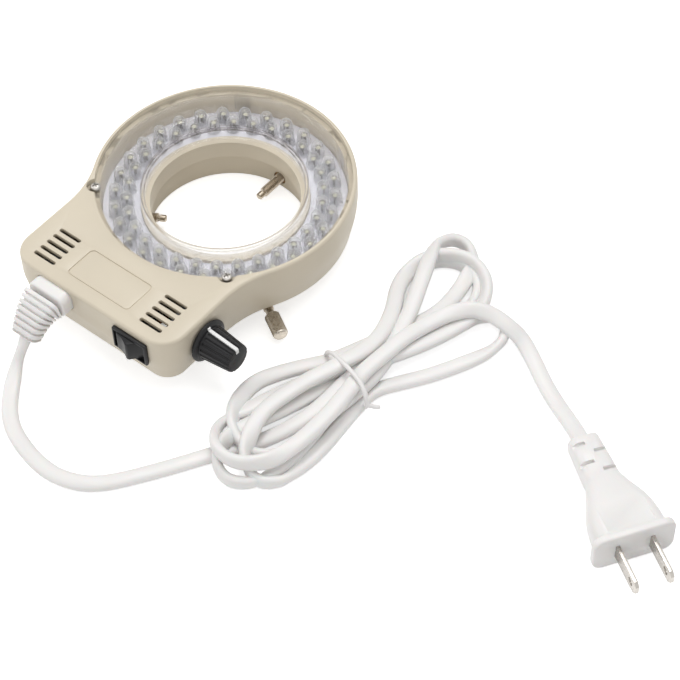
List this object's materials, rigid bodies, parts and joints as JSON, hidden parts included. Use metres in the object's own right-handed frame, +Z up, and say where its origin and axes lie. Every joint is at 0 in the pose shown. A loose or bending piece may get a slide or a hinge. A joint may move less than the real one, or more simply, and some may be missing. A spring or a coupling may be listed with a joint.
{
  "type": "microscope ring light",
  "caption": "Ring light that clamps round a microscope's lens barrel, with lamps under a clear dished cover, a control box with rocker switch and dimmer knob, and a plug-in mains lead.",
  "frame": {"origin": "on the axis of the clamping collar's bore, at the collar's foot, which is the plane the part rests on", "axes": "+Z is up, from the collar's foot to the lamps; -Y runs from the ring to the control box; +X is the side with the dimmer knob"},
  "size_m": [0.273, 0.1819, 0.0305],
  "materials": {
    "beige_plastic": "satin moulded, beige",
    "clear_plastic": "clear moulded sheet, gloss",
    "lamp_clear": "water-clear lamp body",
    "board_white": "white solder mask, faint violet",
    "nickel": "nickel plated, knurled or turned",
    "zinc_steel": "zinc plated",
    "brass": "turned",
    "black_gloss": "black, gloss",
    "black_matte": "black, fine grain",
    "white_vinyl": "soft white vinyl, satin",
    "white_paint": "white infill",
    "green_board": "green solder mask",
    "ferrite": "sintered, dull",
    "coil_tape": "wound tape",
    "cap_sleeve": "shrink sleeve",
    "fuse_glass": "glazed tube",
    "resistor_tan": "lacquered",
    "wire_red": "insulation",
    "wire_brown": "insulation",
    "wire_orange": "insulation",
    "pot_grey": "cadmium grey"
  },
  "bodies": {
    "housing": {"main_shell": "beige_plastic", "base_plate": "beige_plastic", "screw_inserts": "brass", "case_screws": "zinc_steel", "led_board": "board_white", "outer_leds": "lamp_clear", "inner_leds": "lamp_clear", "led_resistors": "resistor_tan", "clear_cover": "clear_plastic", "cover_screws": "nickel", "switch_body": "black_matte", "switch_terminals": "zinc_steel", "inlet_socket": "black_matte", "inlet_pins": "nickel", "dimmer_pot": "pot_grey", "dimmer_terminals": "zinc_steel", "dimmer_nut": "zinc_steel", "driver_board": "green_board", "board_standoffs": "zinc_steel", "transformer_core": "ferrite", "transformer_coil": "coil_tape", "filter_capacitors": "cap_sleeve", "rectifier": "black_matte", "fuse": "fuse_glass", "led_wires": "wire_red", "mains_wires": "wire_brown", "dimmer_wires": "wire_orange"},
    "rear_tip": {"rear_screw_tip": "nickel"},
    "rear_screw": {"rear_thumb_screw": "nickel"},
    "left_tip": {"left_screw_tip": "nickel"},
    "left_screw": {"left_thumb_screw": "nickel"},
    "right_tip": {"right_screw_tip": "nickel"},
    "right_screw": {"right_thumb_screw": "nickel"},
    "rocker": {"switch_rocker": "black_gloss"},
    "knob": {"dimmer_shaft": "zinc_steel", "dimmer_knob": "black_matte", "knob_pointer": "white_paint"},
    "lead": {"lead_connector": "white_vinyl", "connector_contacts": "brass", "connector_boot": "white_vinyl", "cord_feed": "white_vinyl", "cord_hank": "white_vinyl", "cord_run": "white_vinyl", "twist_tie": "white_paint", "plug_body": "white_vinyl", "plug_blades": "nickel"}
  },
  "joints": [
    {"name": "rear_screw_feed", "type": "slide", "parent": "housing", "child": "rear_tip", "axis": [0, -1, 0], "range_m": [-0.012, 0]},
    {"name": "rear_screw_turn", "type": "hinge", "parent": "rear_tip", "child": "rear_screw", "pos_m": [0, 0.035, 0.0041], "axis": [0, -1, 0], "range_deg": [-6200, 0]},
    {"name": "left_screw_feed", "type": "slide", "parent": "housing", "child": "left_tip", "axis": [0.866, 0.5, 0], "range_m": [-0.006, 0.006]},
    {"name": "left_screw_turn", "type": "hinge", "parent": "left_tip", "child": "left_screw", "pos_m": [-0.03031, -0.0175, 0.0041], "axis": [0.866, 0.5, 0], "range_deg": [-3100, 3100]},
    {"name": "right_screw_feed", "type": "slide", "parent": "housing", "child": "right_tip", "axis": [-0.866, 0.5, 0], "range_m": [0, 0.012]},
    {"name": "right_screw_turn", "type": "hinge", "parent": "right_tip", "child": "right_screw", "pos_m": [0.03031, -0.0175, 0.0041], "axis": [-0.866, 0.5, 0], "range_deg": [0, 6200]},
    {"name": "switch_rock", "type": "hinge", "parent": "housing", "child": "rocker", "pos_m": [0.0213, -0.0742, 0.0223], "axis": [0, 0, 1], "range_deg": [-22, 0]},
    {"name": "dimmer_turn", "type": "hinge", "parent": "housing", "child": "knob", "pos_m": [0.045, -0.056, 0.019], "axis": [1, 0, 0], "range_deg": [-130, 150]},
    {"name": "lead_unplug", "type": "slide", "parent": "housing", "child": "lead", "axis": [0, -1, 0], "range_m": [0, 0.016]}
  ],
  "couplings": [
    {"joint": "rear_screw_turn", "follows": "rear_screw_feed", "rad_per_m": 8976},
    {"joint": "left_screw_turn", "follows": "left_screw_feed", "rad_per_m": 8976},
    {"joint": "right_screw_turn", "follows": "right_screw_feed", "rad_per_m": 8976}
  ]
}
